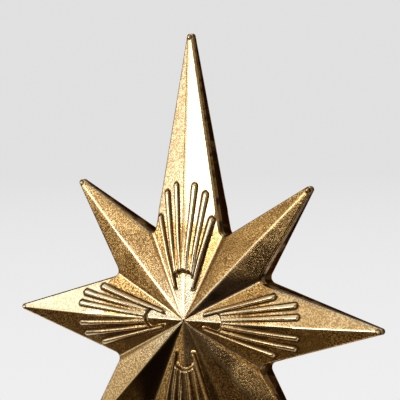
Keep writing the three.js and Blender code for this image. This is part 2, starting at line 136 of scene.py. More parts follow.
class RibSizes(bpy.types.PropertyGroup):
    """Sizes of the pressed rib fans."""
    height: length("Rib height", "How far a rib stands over its facet at its outer end", 1.1)
    inner_height: length("Inner rib height", "How far a rib stands over the web at its inner end", 0.5)
    inner: length("Inner half width", "Half width of a rib at its inner end", 0.9)
    outer: length("Outer half width", "Half width of a rib at its outer end", 1.65)
    web: length("Web height", "How far the web between the ribs' inner ends stands over its facet", 1.4)
    web_reach: length("Web reach", "How far out the web runs before it has sunk to its facet", 42)
    web_edge: length("Web edge", "Width of the step round the web", 1.6)
    arch: length("Arch", "How far the web's inner edge arches outwards over the ridge", 3.6)


class CoilSizes(bpy.types.PropertyGroup):
    """Sizes of the wire coil, its stem and its collar."""
    wire: length("Wire diameter", "Diameter of the wire", 2.4)
    stem_top: length("Stem top", "Top of the stem, below the star's centre", 66)
    stem_bend: length("Stem bend", "Where the stem turns to the nose", 130)
    neck: length("Neck", "Bottom nose to the coil's first turn", 12)
    top_radius: length("Top radius", "Radius where the turns start", 8.9)
    bottom_radius: length("Bottom radius", "Radius of the last turn", 18.85)
    height: length("Coil height", "Height of the turns", 60)
    turns: count("Turns", "Turns of the coil", 6)
    steps: count("Steps", "Mesh steps in a turn", 64)
    sides: count("Sides", "Mesh sides round the wire", 16)
    collar_wall: length("Collar wall", "Thickness of the collar", 0.9)


class RivetSizes(bpy.types.PropertyGroup):
    """Sizes of the rivets that hold the stem's straps."""
    upper: length("Upper strap", "Upper strap's place below the star's centre", 75)
    lower: length("Lower strap", "Lower strap's place below the star's centre", 90)
    across: length("Rivet offset", "A rivet's distance from the ridge", 4.4)
    shank: length("Shank radius", "Radius of a rivet's shank", 0.9)
    head: length("Head radius", "Radius of a rivet's head", 1.8)
    rise: length("Head height", "Height of a rivet's head", 0.9)
    strap: length("Strap thickness", "Thickness of a strap", 0.8)


class StarFinish(bpy.types.PropertyGroup):
    """Colours and roughness of the metal."""
    gold: colour("Gold", "Satin gold of the facets", (0.93, 0.61, 0.24))
    # Pale gold: a painted highlight, mixed into the facets of negative tone.
    pale: colour("Pale gold", "Facets that are polished paler", (0.97, 0.84, 0.6))
    # The brown of the shaded facets: painted shade, mixed into the facets of positive tone.
    shade_brown: colour("Browned gold", "Facets that keep more of the antique finish", (0.13, 0.07, 0.022))
    grain_shade: colour("Grain shade", "Darker grains of the facets", (0.24, 0.125, 0.035))
    # The darkest brown: patinated hollows together with painted shade in the pressing's corners, painted
    # shade on the darkest facets, and the dark streaks and patches of lip, wall and straps.
    patina_and_shade: colour("Patina", "Brown in the corners of the pressing", (0.04, 0.021, 0.008))
    # Flank: painted shade beside the brown corners.
    flank: colour("Flank", "Tint that darkens the gold beside the brown corners", (0.46, 0.36, 0.22))
    stain: colour("Stain", "Brown stains of the antique finish", (0.42, 0.25, 0.085))
    # Worn gold: rubbed metal with a painted highlight, on ridges, crests and along valleys.
    worn_and_highlight: colour("Worn gold", "Paler gold of the ridges and of the ribs' crests", (1, 0.83, 0.54))
    lip: colour("Lip", "Olive brown of the front shell's lip", (0.4, 0.265, 0.12))
    wall: colour("Wall", "Brown streaks of the back shell's side wall", (0.26, 0.165, 0.09))
    wire: colour("Wire", "Gold of the wire", (0.66, 0.47, 0.23))
    brass: colour("Brass", "Plain brass of collar, straps and rivets", (0.55, 0.38, 0.17))
    grain: factor("Grain", "Strength of the sandblasted grain", 0.6)
    facet_roughness: factor("Facet roughness", "Roughness of the facets", 0.16)
    rib_roughness: factor("Rib roughness", "Roughness of the ribs", 0.14)


class StageLook(bpy.types.PropertyGroup):
    """Colours and levels of the pale stage."""
    background: colour("Background", "Pale background that camera and metal see", (0.75, 0.75, 0.752))
    floor: colour("Floor", "Colour of the floor under the star", (0.78, 0.78, 0.785))
    near_floor: colour("Near floor", "The background just behind the star", (0.87, 0.87, 0.875))
    near_flag: colour("Near flag", "Brown card on the floor near the star", (0.14, 0.105, 0.06))
    left_flag: colour("Left flag", "Dark card on the floor at the left", (0.08, 0.055, 0.028))
    far_flag: colour("Far flag", "Gold brown card on the floor at the far left", (0.28, 0.2, 0.075))
    right_flag: colour("Right flag", "Darkest cards on the floor, in front and at the right",
                       (0.05, 0.034, 0.017))
    back_flag: colour("Back flag", "Brown cards behind the star", (0.25, 0.18, 0.11))
    black_card: colour("Black card", "Black card behind the star at the left", (0, 0, 0))
    near_card: colour("Near card", "Pale card close to the star at the left", (0.7, 0.62, 0.45))
    middle_card: colour("Middle card", "Brown card that the side facets mirror", (0.2, 0.14, 0.06))
    inner_card: colour("Inner card", "Pale card right of the middle one", (0.88, 0.76, 0.56))
    upper_card: colour("Upper card", "Pale cards over the inner one", (0.95, 0.85, 0.66))
    outer_card: colour("Outer card", "Darker gold card over the middle one", (0.42, 0.35, 0.24))
    side_card: colour("Side card", "Brown cards right of the star", (0.3, 0.24, 0.15))
    ambient: factor("Ambient", "World light on matt surfaces", 0.87)
    key: level("Key", "Brightness of the large soft light at the left", 1.2)
    low_key: level("Low key", "Brightness of the low light at the left", 1.1)
    low_band: level("Low band", "Brightness of the small lights in front, low and at the left", 3)
    strip: level("Strip", "Brightness of the lights in front, high and near the middle", 3.4)
    valley: level("Valley", "Brightness of the small light that valleys and ridges mirror", 7)


@dataclass
class Arm:
    """One arm of the star: its direction and its sizes."""
    angle: float
    reach: float
    nose: float
    ridge_break: float
    break_height: float
    left_corner: float
    right_corner: float
    fan: tuple
    tones: tuple

    def place(self, along, across):
        """A point of the star's plane as a complex number, given along and across the arm."""
        return (along + 1j * across) * np.exp(1j * self.angle)

    def corner(self, side):
        return self.left_corner if side > 0 else self.right_corner


# Each fan has three ribs on either side of its ridge, inner and outer end, along and across
UPRIGHT_FAN = (((23, 1.4), (66, 5.4)), ((20.6, 4.3), (62, 11.2)), ((15.5, 5), (50, 15)))
SIDE_FAN = (((20.7, 1.5), (62.5, 5.2)), ((20.7, 4.3), (60.5, 10.6)), ((11.5, 3.6), (49.5, 14.3)))

# Painted light and shade of each arm's facets, left and right of its ridge seen from the centre: -1 is a
# pale painted highlight, 1 is brown painted shade
PAINTED_FACET_TONES = ((-0.5, 0), (0.45, 0.54), (-0.5, -0.7), (0.3, -0.3),
         (0.1, -0.65), (0.75, -0.5), (-0.1, 0.2), (-0.1, -0.15))

BOTTOM_ARM = 6
VALLEY_ROWS = 72
COARSE_SHARE = 0.28  # the first rows from the apex are coarser, over this share of the valley
COARSE_ROWS = 12
ARC_ROWS = 6
RIB_ROW = 0.55 * MM
PLAIN_ROW = 2.2 * MM
FAN_END = 70 * MM
TIP_STRETCH = 3 * MM
TIP_ROWS = 7
NOSE_ROWS = 8
RIDGE_STEPS = np.array([0, 0.15, 0.3, 0.5, 0.8, 1.2]) * MM
ROLL_STEPS = 1 - np.cos(np.radians([90, 75, 60, 45, 30, 15, 0]))
WELD = 1e-6

# Where polished rubbing with its painted highlight, and patinated brown with its painted shade, lie on a
# face, along an arm from the centre or across it from its ridge
RIDGE_STARTS, RIDGE_EDGE = (3 * MM, 12 * MM), (0.3 * MM, 0.9 * MM)
VALLEY_STARTS, VALLEY_HIGHLIGHT = (5 * MM, 12 * MM), 0.45 * MM
VALLEY_BROWN, VALLEY_SHADE = 2.2 * MM, 0.62
CREASE_STARTS, CREASE_PLACE, CREASE_WIDTH, CREASE_SHADE = (20 * MM, 30 * MM), 0.65 * MM, 0.3 * MM, 0.72
RIB_BROWN, KNOB_BROWN = 0.95, 0.9
INWARD_BROWN = (0.35, 0.8, 0.8)  # how much more brown each rib has on the side towards the ridge
INWARD_EDGE = 0.3 * MM
KNOB_PLACE = 1.7 * MM  # from the nose back to its knob

# The brown line round a rib, patinated brown with painted shade, and the polished rubbing of its crest with
# a painted highlight, in shares of the rib's half width
RIM_PLACE, RIM_WIDTH = 0.92, 0.22
INWARD_SHIFT, INWARD_SPREAD = 0.25, 0.23  # the line lies further out and is wider towards the ridge
CREST_EDGE, BESIDE_RIB = (0.5, 0.9), (0.9, 1.4)

# How the painted light and shade of a facet change over it
# The shaded facets keep less of their ridge's painted highlight, and the darkest get more painted shade at
# the centre.
SHADED_TONE, SHADED_RIDGE_SHARE = 0.45, 0.3  # facets over this tone keep this share of their polished ridge
DARK, DARK_INNER = 0.5, 0.9        # facets over this tone darken by so much at the centre
# Painted shade beside the valleys and near the centre, a painted highlight near the centre of the pale
# facets, and painted shade between and beside the ribs.
SHADE_NEAR_VALLEY, INNER_REACH = 5 * MM, 38 * MM
PALE_REACH, PALE_INNER = 22 * MM, 0.5
BETWEEN_STARTS, BETWEEN_ENDS, BETWEEN_SHADE = (20 * MM, 24 * MM), (44 * MM, 48 * MM), 0.85
BESIDE_EDGE, BESIDE_ENDS, BESIDE_SHADE = 1.5 * MM, (38 * MM, 50 * MM), 0.8


def smooth(low, high, x):
    """Smooth step from 0 at low to 1 at high."""
    t = np.clip((x - low) / (high - low), 0, 1)
    return t * t * (3 - 2 * t)


def cross(a, b):
    return (np.conj(a) * b).imag

def valley_beside(k, side):
    """The number of the valley left (1) or right (-1) of arm k. Valley k follows arm k."""
    return k if side > 0 else (k + 7) % 8


def make_arms(sizes):
    """The eight arms, counter-clockwise as seen from the front, from the right-hand one."""
    turn = math.radians(45)
    upright, side = sizes.upright_half_angle, sizes.side_half_angle
    kinds = (
        ((sizes.side_reach, sizes.side_break, sizes.side_break_height), (side, side), SIDE_FAN),
        ((sizes.diagonal_reach, sizes.diagonal_break, sizes.diagonal_break_height),
         (turn - upright, turn - side), ()),
        ((sizes.upright_reach, sizes.upright_break, sizes.upright_break_height),
         (upright, upright), UPRIGHT_FAN),
        ((sizes.diagonal_reach, sizes.diagonal_break, sizes.diagonal_break_height),
         (turn - side, turn - upright), ()),
    )
    arms = []
    for k, tones in enumerate(PAINTED_FACET_TONES):
        (reach, ridge_break, break_height), (left, right), fan = kinds[k % 4]
        nose = sizes.bottom_nose if k == BOTTOM_ARM else sizes.nose
        arms.append(Arm(turn * k, reach, nose, ridge_break, break_height, left, right, fan, tones))
    return arms


class Side:
    """One straight side of an arm, with the sharp inner corner it runs from."""

    def __init__(self, sizes, arm, side):
        self.sizes, self.arm, self.side = sizes, arm, side
        between = arm.corner(side)
        self.corner_along = sizes.corner_reach * math.cos(between)
        self.corner_across = sizes.corner_reach * math.sin(between)
        self.end = arm.reach - sizes.nose_bulge
        self.slope = (self.corner_across - arm.nose) / (self.end - self.corner_along)
        self.spread = math.hypot(1, self.slope)

    def half_width(self, along, inset):
        return self.arm.nose + self.slope * (self.end - along) - inset * self.spread

    def line(self, inset):
        """A point of the side and the way that it runs outwards, in the star's plane."""
        near = self.arm.place(self.corner_along, self.side * self.half_width(self.corner_along, inset))
        far = self.arm.place(self.end, self.side * self.half_width(self.end, inset))
        return near, (far - near) / abs(far - near)


class Outline:
    """The star's outline, drawn that far inside its outer edge, and the rows of mesh that end on it."""

    def __init__(self, sizes, arms, inset=0.0):
        self.sizes, self.arms, self.inset = sizes, arms, inset
        self.sides = [{side: Side(sizes, arm, side) for side in (1, -1)} for arm in arms]
        self.corners = [self.corner(k) for k in range(8)]

    def corner(self, k):
        """The rounded inner corner that follows arm k: its middle, centre and half turn."""
        near, way = self.sides[k][1].line(self.inset)
        next_near, next_way = self.sides[(k + 1) % 8][-1].line(self.inset)
        sharp = near + way * cross(next_near - near, next_way) / cross(way, next_way)
        half = math.acos((np.conj(way) * next_way).real) / 2
        radius = self.sizes.corner_radius + self.inset
        middle = (way + next_way) / abs(way + next_way)
        centre = sharp + middle * radius / math.sin(half)
        return centre - middle * radius, centre, math.pi / 2 - half

    def nose_along(self, k):
        left, right = self.sides[k][1], self.sides[k][-1]
        if self.inset == 0:
            return left.end
        least = self.sizes.inner_nose
        reaches = [s.end - (least - s.arm.nose + self.inset * s.spread) / s.slope for s in (left, right)]
        return min(left.end - self.inset, *reaches)

    def chain(self, k, side):
        """The edge's points on one side of arm k, from the centre out to the nose, along and across."""
        middle, centre, half_turn = self.corners[valley_beside(k, side)]
        coarse = np.linspace(0, COARSE_SHARE, COARSE_ROWS, endpoint=False)
        fine = np.linspace(COARSE_SHARE, 1, VALLEY_ROWS - COARSE_ROWS + 1)
        valley = np.concatenate([coarse, fine]) * middle
        turns = np.linspace(0, half_turn, ARC_ROWS + 1)[1:] * side
        arc = centre + (middle - centre) * np.exp(1j * turns)
        s = self.sides[k][side]
        along = self.nose_along(k)
        nose_start = s.arm.place(along, side * s.half_width(along, self.inset))
        straight = arc[-1] + (nose_start - arc[-1]) * self.side_shares(k)
        bulge = self.sizes.nose_bulge if self.inset == 0 else self.sizes.inner_nose
        phi = np.linspace(math.pi / 2, 0, NOSE_ROWS + 1)[1:]
        nose = s.arm.place(along + bulge * np.cos(phi), side * s.half_width(along, self.inset) * np.sin(phi))
        points = np.concatenate([valley, arc, straight, nose]) * np.exp(-1j * s.arm.angle)
        return points.real + 1j * np.abs(points.imag)

    def side_shares(self, k):
        """Where rows stand on a straight side: close together beside the ribs and at the nose."""
        arm = self.arms[k]
        start, end = self.sizes.corner_reach, arm.reach
        fan_end = FAN_END if arm.fan else start
        fan = np.arange(start, fan_end, RIB_ROW)
        plain_rows = max(2, round((end - fan_end) / PLAIN_ROW))
        plain = np.linspace(fan_end, end - TIP_STRETCH, plain_rows)
        tip = np.linspace(end - TIP_STRETCH, end, TIP_ROWS)
        stations = np.unique(np.concatenate([fan, plain, tip]))
        return (stations[1:] - start) / (end - start)

    def edge_distance(self, k, side, along, across):
        """Distance of points of one half of an arm from the outline."""
        s = self.sides[k][side]
        from_side = (s.half_width(along, 0) - across) / s.spread
        _, centre, _ = self.corners[valley_beside(k, side)]
        centre = centre * np.exp(-1j * s.arm.angle)
        centre = centre.real + 1j * abs(centre.imag)
        outwards = complex(1, -s.slope) / s.spread
        point = along + 1j * across
        beside_arc = ((point - centre) * np.conj(outwards)).real < 0
        from_arc = np.abs(point - centre) - self.sizes.corner_radius
        distance = np.where(beside_arc, np.maximum(from_side, from_arc), from_side)
        bulge = self.sizes.nose_bulge
        reach = np.hypot((along - s.end) / bulge, across / s.arm.nose)
        from_nose = (1 - reach) * min(bulge, s.arm.nose)
        return np.maximum(np.where(along > s.end, from_nose, distance), 0)


def rib_line(rib, along):
    """How far across a rib's centre line stands."""
    (start, across), (end, end_across) = np.array(rib) * MM
    return across + (end_across - across) / (end - start) * (along - start)


def plane(*points):
    """Height at the origin and slopes along and across of the plane through three points."""
    rows = np.array([[1, a, b] for a, b, _ in points])
    return np.linalg.solve(rows, np.array([h for _, _, h in points]))


class Face:
    """The height of the star's pressed face over its middle plane."""

    def __init__(self, sizes, ribs, outline):
        self.sizes, self.ribs, self.outline = sizes, ribs, outline
        self.planes = {(k, side): self.slopes(k, side) for k in range(8) for side in (1, -1)}

    def slopes(self, k, side):
        sizes, arm = self.sizes, self.outline.arms[k]
        middle = self.outline.corners[valley_beside(k, side)][0] * np.exp(-1j * arm.angle)
        corner = (middle.real, abs(middle.imag), sizes.corner_depth)
        ridge = (arm.ridge_break, 0, arm.break_height)
        nose = (arm.reach - sizes.nose_bulge, arm.nose, sizes.tip_depth)
        return plane((0, 0, sizes.apex), ridge, corner), plane(ridge, corner, nose), corner

    def valley_rise(self, k):
        """How steeply the two facets leave the valley that follows arm k, on average."""
        rises = []
        for arm, side in ((k, 1), ((k + 1) % 8, -1)):
            (_, along, across), _, corner = self.planes[arm, side]
            away = np.array([corner[1], -corner[0]]) / math.hypot(*corner[:2])
            rises.append(along * away[0] + across * away[1])
        return sum(rises) / 2

    def plain(self, k, side, along, across):
        """The facets alone, with soft ridge and crease."""
        inner, outer, _ = self.planes[k, side]
        arm, sizes = self.outline.arms[k], self.sizes
        spread = smooth(0, 10 * MM, along)
        roll = spread * (sizes.ridge_roll + (sizes.inner_ridge_roll - sizes.ridge_roll)
                         * (1 - smooth(0.7 * arm.ridge_break, 1.1 * arm.ridge_break, along)))
        soft = np.sqrt(across ** 2 + roll ** 2)
        one = inner[0] + inner[1] * along + inner[2] * soft
        two = outer[0] + outer[1] * along + outer[2] * soft
        crease = 0.06 * MM * spread
        return (one + two - np.sqrt((one - two) ** 2 + crease ** 2)) / 2

    def rib_share(self, rib, along, across):
        """Distance from a rib's centre line as a share of its half width there."""
        start, end = (complex(*p) * MM for p in rib)
        whole = abs(end - start)
        way = (end - start) / whole
        local = (along + 1j * across - start) * np.conj(way)
        inner, outer = self.ribs.inner, self.ribs.outer
        x = np.clip(local.real, inner, whole - outer)
        half = inner + (outer - inner) * x / whole
        return np.hypot(local.real - x, local.imag) / half, x / whole

    def web_rise(self, fan, along, across):
        """Height of the raised web that joins the ribs' inner ends and steps down towards the centre, and a
        painted shadow along that step.
        """
        ribs = self.ribs
        finger = rib_line(fan[2], along)
        first, last = fan[0][0][0] * MM, fan[2][0][0] * MM
        foot = first + 1 * MM - ribs.arch
        wide = np.maximum(finger - ribs.inner, 0.5 * MM)
        out = np.maximum(along - foot, 0)
        r = ((out / ribs.arch) ** 1.5 + (across / wide) ** 1.5) ** (2 / 3)
        outwards, sideways = (out / ribs.arch) ** 0.5 / ribs.arch, (across / wide) ** 0.5 / wide
        steep = np.hypot(outwards, sideways) / np.sqrt(r + 1e-6)
        beyond = (r - 1) / np.maximum(steep, 1e-6)
        half = ribs.web_edge / 2
        begins = smooth(last - 1 * MM, last + 0.5 * MM, along)
        step = smooth(-half, half, beyond) * begins * (1 - smooth(0, 2 * half, across - finger))
        step_shadow = np.exp(-(beyond / (0.6 * half)) ** 2) * (across < finger) * begins
        return ribs.web * step * (1 - smooth(0.25, 1, (along - foot) / ribs.web_reach)), step_shadow

    def fan_form(self, arm, along, across):
        """Rise of an arm's ribs and web, their crests' rubbing with a painted highlight, their patinated
        brown lines with painted shade, and the share of the nearest rib.
        """
        ribs = self.ribs
        rise, polish, crevice = (np.zeros_like(along) for _ in range(3))
        nearest = np.full_like(along, 9.0)
        for i, rib in enumerate(arm.fan):
            share, out = self.rib_share(rib, along, across)
            clear = 1 if i == 2 else smooth(0.05, 0.4, out)
            # A brown line round each rib: patinated brown with painted shade, more of it on the side towards
            # the ridge.
            inward = INWARD_BROWN[i] * smooth(-INWARD_EDGE, INWARD_EDGE, rib_line(rib, along) - across)
            width = RIM_WIDTH + INWARD_SPREAD * inward
            rim = np.exp(-((share - RIM_PLACE - INWARD_SHIFT * inward) / width) ** 4)
            crevice = np.maximum(crevice, RIB_BROWN * clear * rim)
            # The crest: rubbed metal with a painted highlight.
            crest = (1 - smooth(*CREST_EDGE, share)) * (0.6 + 0.4 * smooth(0.6, 0.95, out))
            polish = np.maximum(polish, crest)
            if i == 2:
                # Painted shade round the inner end of the outermost rib.
                tip = (1 - smooth(0, 0.03, out)) * smooth(0.4, 0.7, share) * (1 - smooth(1.1, 1.5, share))
                crevice = np.maximum(crevice, tip)
            tall = ribs.inner_height + (ribs.height - ribs.inner_height) * smooth(0, 0.5, out)
            rise = np.maximum(rise, tall * np.maximum(1 - share ** 3, 0) ** 1.5)
            nearest = np.minimum(nearest, share)
        if arm.fan:
            web, step_shadow = self.web_rise(arm.fan, along, across)
            rise = rise + web
            # A painted shadow along the web's step.
            crevice = np.maximum(crevice, step_shadow * smooth(0.8, 1.2, share))
        return rise, polish, crevice, nearest

    def painted_facet_tones(self, arm, tone, along, across, from_valley, nearest):
        """The facet's painted light and shade at each point: painted shade in valleys, near the centre and
        among the ribs, and a painted highlight near the centre of the pale facets.
        """
        shade_near_valley = np.exp(-(from_valley / SHADE_NEAR_VALLEY) ** 2)
        inner = np.exp(-(along / INNER_REACH) ** 2)
        tones = np.full_like(along, tone) + max(tone, 0) * (0.6 * shade_near_valley + 0.4 * inner - 0.15)
        if tone > DARK:
            tones += DARK_INNER * inner
        if tone < 0:
            tones -= PALE_INNER * np.exp(-(along / PALE_REACH) ** 2)
        if arm.fan:
            beside = smooth(0, BESIDE_EDGE, across - rib_line(arm.fan[2], along))
            between = smooth(1, 1.4, nearest) * (1 - beside) * smooth(*BETWEEN_STARTS, along)
            tones += BETWEEN_SHADE * between * (1 - smooth(*BETWEEN_ENDS, along))
            if tone < 0:
                tones += BESIDE_SHADE * beside * (1 - smooth(*BESIDE_ENDS, along))
        return tones

    def pressed(self, k, side, along, across):
        """Height of the dressed face, with the shares of polished rubbing with its painted highlight and of
        patinated brown with painted shade, and the painted light and shade of the facets.
        """
        sizes, arm = self.sizes, self.outline.arms[k]
        tone = arm.tones[0 if side > 0 else 1]
        rise, polish, crevice, nearest = self.fan_form(arm, along, across)
        # The ridge: rubbed metal with a painted highlight, less of it on the shaded facets.
        rub_and_highlight = smooth(*RIDGE_STARTS, along) * (1 - smooth(*RIDGE_EDGE, across))
        rub_and_highlight *= SHADED_RIDGE_SHARE if tone > SHADED_TONE else 1
        polish = np.maximum(polish, rub_and_highlight * smooth(*BESIDE_RIB, nearest))
        knob = np.hypot(along - arm.reach + KNOB_PLACE, across) / sizes.knob
        rise = rise + sizes.knob_height * np.maximum(1 - knob ** 2, 0) ** 1.5
        # A brown ring round the knob: patinated brown with painted shade.
        crevice = np.maximum(crevice, KNOB_BROWN * np.exp(-((knob - 1) / 0.25) ** 2))
        corner = complex(*self.planes[k, side][2][:2])
        point = along + 1j * across
        t = np.clip((point * np.conj(corner)).real / abs(corner) ** 2, 0, 1)
        from_valley = np.abs(point - t * corner)
        # A painted highlight along the valley.
        valley_highlight = np.exp(-(from_valley / VALLEY_HIGHLIGHT) ** 2) * smooth(*VALLEY_STARTS, along)
        polish = np.maximum(polish, valley_highlight)
        # Short arms: a band of painted shade beside the valleys.
        if not arm.fan:
            band = np.exp(-(from_valley / (VALLEY_BROWN * (0.35 + t))) ** 4)
            crevice = np.maximum(crevice, VALLEY_SHADE * band * smooth(*RIDGE_EDGE, from_valley))
        # Upright arms: a thin line of painted shade beside the ridge, on one facet.
        if arm.fan == UPRIGHT_FAN and side > 0:
            crease = np.exp(-((across - CREASE_PLACE) / CREASE_WIDTH) ** 2) * smooth(*CREASE_STARTS, along)
            crevice = np.maximum(crevice, CREASE_SHADE * crease)
        tones = self.painted_facet_tones(arm, tone, along, across, from_valley, nearest)
        steep = self.valley_rise(valley_beside(k, side))
        lift = steep * (np.hypot(from_valley, sizes.valley_roll) - from_valley)
        height = self.plain(k, side, along, across) + lift + rise
        inside = np.maximum(sizes.edge_roll - self.outline.edge_distance(k, side, along, across), 0)
        drop = sizes.edge_roll - np.sqrt(sizes.edge_roll ** 2 - inside ** 2)
        return height - drop, polish, crevice, tones

    def valley_height(self, k, t):
        """Height of the valley that follows arm k, at a share t of its length."""
        corner_depth, apex = self.sizes.corner_depth, self.sizes.apex
        return apex + (corner_depth - apex) * t + self.valley_rise(k) * self.sizes.valley_roll


class Builder:
    """Collects the sheets of one piece and welds them into a mesh."""

    def __init__(self):
        self.points, self.faces, self.materials, self.fields, self.total = [], [], [], {}, 0

    def add_grid(self, grid, material=0, flip=False, **fields):
        """A sheet of quads over a grid of points, rows by columns, with each field's values there."""
        rows, columns = grid.shape[:2]
        index = self.total + np.arange(rows * columns).reshape(rows, columns)
        corners = [index[:-1, :-1], index[1:, :-1], index[1:, 1:], index[:-1, 1:]]
        quads = np.stack(corners, -1).reshape(-1, 4)
        for name, values in fields.items():
            self.fields.setdefault(name, []).append((self.total, values.reshape(-1)))
        self.points.append(grid.reshape(-1, 3))
        self.faces.append(quads[:, ::-1] if flip else quads)
        self.materials.append(np.full(len(quads), material))
        self.total += rows * columns

    def mesh(self, name):
        made = bpy.data.meshes.new(name)
        made.from_pydata(np.concatenate(self.points).tolist(), [], np.concatenate(self.faces).tolist())
        made.polygons.foreach_set("material_index", np.concatenate(self.materials).astype(np.int32))
        for field, parts in self.fields.items():
            values = np.zeros(self.total, np.float32)
            for first, part in parts:
                values[first:first + len(part)] = part
            made.attributes.new(field, "FLOAT", "POINT").data.foreach_set("value", values)
        work = bmesh.new()
        work.from_mesh(made)
        bmesh.ops.remove_doubles(work, verts=work.verts, dist=WELD)
        work.to_mesh(made)
        work.free()
        made.shade_smooth()
        return made


def in_frame(plan, height):
    """Points of the star's plane and their heights as points of the frame."""
    return np.stack([plan.real, -height, plan.imag + STAR_CENTRE], -1)


def column_shares(width, middle_columns, roll):
    """Where the columns of each row stand between ridge and edge, as shares of its width."""
    edge_steps = ROLL_STEPS * roll
    widest = max(RIDGE_STEPS[-1], edge_steps[0])
    scale = np.minimum(1, 0.45 * width / widest)[:, None]
    near = RIDGE_STEPS[None, :] * scale
    far = width[:, None] - edge_steps[None, :] * scale
    between = np.linspace(0, 1, middle_columns + 1)[None, 1:-1]
    middle = near[:, -1:] + (far[:, :1] - near[:, -1:]) * between
    return np.concatenate([near, middle, far], 1) / np.maximum(width, 1e-9)[:, None]


def half_face(face, k, side, columns):
    """One half of an arm's face: plan, height, polish, crevice and tone, rows by columns."""
    outline = face.outline
    edge = outline.chain(k, side)
    other = outline.chain(k, -side)
    ridge = (edge.real + other.real) / 2
    shares = column_shares(np.abs(edge - ridge), columns, face.sizes.edge_roll)
    local = ridge[:, None] + (edge - ridge)[:, None] * shares
    height, polish, crevice, tone = face.pressed(k, side, local.real, local.imag)
    valley = valley_beside(k, side)
    rows = VALLEY_ROWS + 1
    t = np.abs(edge[:rows]) / abs(edge[rows - 1])
    exact = face.valley_height(valley, t)
    exact[-1] = height[rows - 1, -1]
    near_apex = 1 - smooth(0, 6 * MM, np.abs(edge[:rows]))
    exact = exact - near_apex * face.valley_rise(valley) * face.sizes.valley_roll
    miss = exact - height[:rows, -1]
    last = smooth(0, 0.06, 1 - t)
    height[:rows] += (miss * last)[:, None] * shares[:rows] ** 4
    height[0] = face.sizes.apex
    arm = outline.arms[k]
    return arm.place(local.real, side * local.imag), height, polish, crevice, tone


def add_face(builder, face, columns, back, material):
    """The whole outer face of one shell."""
    for k, arm in enumerate(face.outline.arms):
        wide = columns if arm.fan else columns // 2
        left = half_face(face, k, 1, wide)
        right = half_face(face, k, -1, wide)
        plan, height, polish, crevice, tone = (
            np.concatenate([r[:, :0:-1], l], 1) for r, l in zip(right, left))
        grid = in_frame(plan, -height if back else height)
        builder.add_grid(grid, material, back, rib_polish=polish, crevice=crevice, tone=tone)


def add_inner_face(builder, face, inset_outline, back, material):
    """The plain inside of the sheet: one facet either side of each ridge."""
    sheet = face.sizes.sheet
    for k, arm in enumerate(inset_outline.arms):
        edges = {side: inset_outline.chain(k, side) for side in (-1, 1)}
        ridge = (edges[1].real + edges[-1].real) / 2
        local = np.stack([edges[-1], ridge + 0j, edges[1]], 1)
        sides = (-1, 1, 1)
        height = np.stack([inner_height(face, k, s, local[:, j]) for j, s in enumerate(sides)], 1)
        plan = np.stack([arm.place(local[:, j].real, s * local[:, j].imag) for j, s in enumerate(sides)], 1)
        height = height - sheet
        height[0] = face.sizes.apex - sheet
        builder.add_grid(in_frame(plan, -height if back else height), material, not back)


def inner_height(face, k, side, local):
    """Height of the plain facets, sharp, so that neighbouring arms meet along the valleys."""
    inner, outer, _ = face.planes[k, side]
    one = inner[0] + inner[1] * local.real + inner[2] * local.imag
    two = outer[0] + outer[1] * local.real + outer[2] * local.imag
    return np.minimum(one, two)


def round_arm(right, left):
    """Joins values along an arm's two sides, from its right inner corner round its nose to the left one."""
    return np.concatenate([right, left[:-1][::-1]])


def edges(outline, k):
    """Both sides of arm k, right one first, with their points from the inner corner to the nose."""
    return [(side, outline.chain(k, side)[VALLEY_ROWS:]) for side in (-1, 1)]


def ring(outline, k):
    """The outline's points round arm k, in the star's plane."""
    arm = outline.arms[k]
    return round_arm(*(arm.place(edge.real, side * edge.imag) for side, edge in edges(outline, k)))


def ring_share(outline, k):
    """How far out each of those points lies, 0 at the inner corner and 1 at the nose."""
    shares = []
    for side, edge in edges(outline, k):
        s = outline.sides[k][side]
        shares.append(np.clip((edge.real - s.corner_along) / (s.end - s.corner_along), 0, 1))
    return round_arm(*shares)


def add_wall(builder, outlines, k, profile, back, material):
    """The side of a shell round one arm, through rings given by inset and height."""
    grid = np.stack([in_frame(ring(outlines[inset], k), -h if back else h) for inset, h in profile])
    builder.add_grid(grid, material, back)


def face_edge_height(face, k):
    """Height of the face's rolled edge round arm k."""
    return round_arm(*(face.pressed(k, side, edge.real, edge.imag)[0]
                       for side, edge in edges(face.outline, k)))


def inset_edge_height(face, outline, k):
    """Height of the inside of the sheet, along an inset outline round arm k."""
    heights = (inner_height(face, k, side, edge) for side, edge in edges(outline, k))
    return round_arm(*heights) - face.sizes.sheet


FACET, LIP, WALL = range(3)


